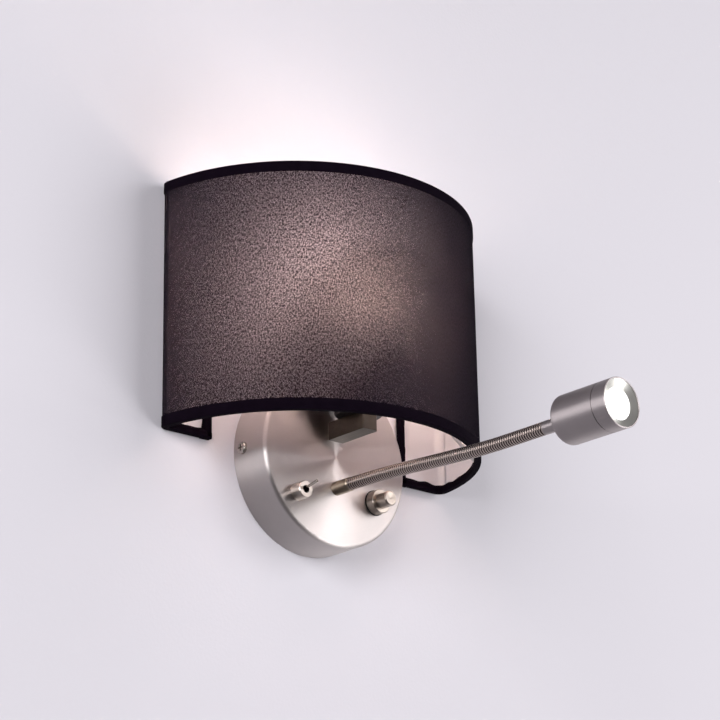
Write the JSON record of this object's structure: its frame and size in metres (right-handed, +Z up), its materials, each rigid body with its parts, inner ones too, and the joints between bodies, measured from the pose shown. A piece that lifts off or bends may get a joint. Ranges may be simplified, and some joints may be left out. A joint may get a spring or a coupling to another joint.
{
  "type": "bedside wall reading lamp",
  "caption": "Wall lamp with a half-round fabric shade over a round brushed backplate, toggle and push switches, and a small spotlight on a bendable neck.",
  "frame": {"origin": "centre of the backplate's open back, on the wall", "axes": "+X to the right as seen from the room, +Y into the wall, +Z up"},
  "size_m": [0.2452, 0.279, 0.2299],
  "materials": {
    "brushed_nickel": "satin brushed nickel plate",
    "head_metal": "satin brushed nickel plate on turned aluminium",
    "neck_steel": "wound nickel-plated steel, bright ribs",
    "polished_nickel": "polished nickel plate",
    "zinc_steel": "dull zinc plate",
    "brass": "plain machined brass",
    "black_phenolic": "black moulded phenolic",
    "black_rubber": "matt black rubber",
    "porcelain": "white porcelain",
    "white_plastic": "white moulded plastic",
    "bulb_glass": "frosted glass, lit warm white",
    "shade_fabric": "dark charcoal-mauve woven linen, visible weave",
    "shade_trim": "black twill tape",
    "shade_lining": "white laminated lining",
    "white_paint": "white powder coat",
    "bare_aluminium": "as machined",
    "lens_clear": "clear moulded optic, lit cool white",
    "led_yellow": "phosphor over the light source",
    "lead_insulation": "PVC lead insulation"
  },
  "bodies": {
    "wall_unit": {"wall_bracket": "zinc_steel", "earth_screw": "brass", "canopy": "brushed_nickel", "canopy_screws": "polished_nickel", "arm_bar": "brushed_nickel", "arm_nipple": "zinc_steel", "arm_nut": "zinc_steel", "lampholder_nipple": "zinc_steel", "lampholder_cap": "black_phenolic", "lampholder_shell": "black_phenolic", "lampholder_insert": "porcelain", "lampholder_socket": "brass", "lampholder_contact": "brass", "bulb_cap": "polished_nickel", "bulb_body": "white_plastic", "bulb_globe": "bulb_glass", "shade_fabric": "shade_fabric", "shade_liner": "shade_lining", "shade_top_trim": "shade_trim", "shade_bottom_trim": "shade_trim", "shade_end_trims": "shade_trim", "shade_bottom_wire": "white_paint", "shade_top_wire": "white_paint", "shade_uprights": "white_paint", "shade_spider": "white_paint", "shade_nuts": "black_phenolic", "toggle_body": "black_phenolic", "toggle_lugs": "brass", "toggle_bushing": "polished_nickel", "toggle_nut": "polished_nickel", "push_body": "black_phenolic", "push_lugs": "brass", "push_bushing": "polished_nickel", "push_gasket": "black_rubber", "push_collar": "polished_nickel", "led_driver": "white_plastic", "terminal_block": "white_plastic", "lamp_leads": "lead_insulation", "neck_leads": "lead_insulation", "neck_base_ferrule": "brushed_nickel", "neck_base_nut": "zinc_steel"},
    "neck_1": {"neck_segment_1": "neck_steel"},
    "neck_2": {"neck_segment_2": "neck_steel"},
    "neck_3": {"neck_segment_3": "neck_steel"},
    "neck_4": {"neck_segment_4": "neck_steel"},
    "neck_5": {"neck_segment_5": "neck_steel"},
    "neck_6": {"neck_segment_6": "neck_steel"},
    "neck_7": {"neck_segment_7": "neck_steel"},
    "neck_8": {"neck_segment_8": "neck_steel"},
    "neck_9": {"neck_segment_9": "neck_steel"},
    "head": {"head_ferrule": "brushed_nickel", "head_body": "head_metal", "head_front_ring": "head_metal", "head_reflector": "polished_nickel", "head_lens": "lens_clear", "led_board": "bare_aluminium", "led_chip": "led_yellow", "heat_sink": "bare_aluminium"},
    "toggle_lever": {"toggle_lever": "polished_nickel"},
    "push_button": {"push_button": "polished_nickel"}
  },
  "joints": [
    {"name": "neck_pitch_1", "type": "hinge", "parent": "wall_unit", "child": "neck_1", "pos_m": [0, -0.0465, -0.0211], "axis": [-1, 0, 0], "range_deg": [-18, 11]},
    {"name": "neck_yaw_1", "type": "hinge", "parent": "neck_1", "child": "neck_2", "pos_m": [0, -0.06551, -0.02143], "axis": [0, 0, 1], "range_deg": [-18, 18]},
    {"name": "neck_pitch_2", "type": "hinge", "parent": "neck_2", "child": "neck_3", "pos_m": [0, -0.08452, -0.0223], "axis": [-1, 0, 0], "range_deg": [-18, 11]},
    {"name": "neck_yaw_2", "type": "hinge", "parent": "neck_3", "child": "neck_4", "pos_m": [0, -0.10353, -0.02349], "axis": [0, 0, 1], "range_deg": [-18, 18]},
    {"name": "neck_pitch_3", "type": "hinge", "parent": "neck_4", "child": "neck_5", "pos_m": [0, -0.12254, -0.02483], "axis": [-1, 0, 0], "range_deg": [-18, 11]},
    {"name": "neck_yaw_3", "type": "hinge", "parent": "neck_5", "child": "neck_6", "pos_m": [0, -0.14156, -0.0261], "axis": [0, 0, 1], "range_deg": [-18, 18]},
    {"name": "neck_pitch_4", "type": "hinge", "parent": "neck_6", "child": "neck_7", "pos_m": [0, -0.16057, -0.02711], "axis": [-1, 0, 0], "range_deg": [-18, 11]},
    {"name": "neck_yaw_4", "type": "hinge", "parent": "neck_7", "child": "neck_8", "pos_m": [0, -0.17958, -0.02765], "axis": [0, 0, 1], "range_deg": [-18, 18]},
    {"name": "neck_pitch_5", "type": "hinge", "parent": "neck_8", "child": "neck_9", "pos_m": [0, -0.19859, -0.0277], "axis": [-1, 0, 0], "range_deg": [-18, 11]},
    {"name": "neck_yaw_5", "type": "hinge", "parent": "neck_9", "child": "head", "pos_m": [0, -0.2176, -0.0277], "axis": [0, 0, 1], "range_deg": [-18, 18]},
    {"name": "toggle_flip", "type": "hinge", "parent": "wall_unit", "child": "toggle_lever", "pos_m": [-0.033, -0.035, -0.0292], "axis": [1, 0, 0], "range_deg": [0, 22]},
    {"name": "push_press", "type": "slide", "parent": "wall_unit", "child": "push_button", "axis": [0, 1, 0], "range_m": [0, 0.003], "stiffness_N_per_m": 600}
  ],
  "couplings": [
    {"joint": "neck_pitch_2", "follows": "neck_pitch_1", "ratio": 1},
    {"joint": "neck_yaw_2", "follows": "neck_yaw_1", "ratio": 1},
    {"joint": "neck_pitch_3", "follows": "neck_pitch_1", "ratio": 1},
    {"joint": "neck_yaw_3", "follows": "neck_yaw_1", "ratio": 1},
    {"joint": "neck_pitch_4", "follows": "neck_pitch_1", "ratio": 1},
    {"joint": "neck_yaw_4", "follows": "neck_yaw_1", "ratio": 1},
    {"joint": "neck_pitch_5", "follows": "neck_pitch_1", "ratio": 1},
    {"joint": "neck_yaw_5", "follows": "neck_yaw_1", "ratio": 1}
  ]
}
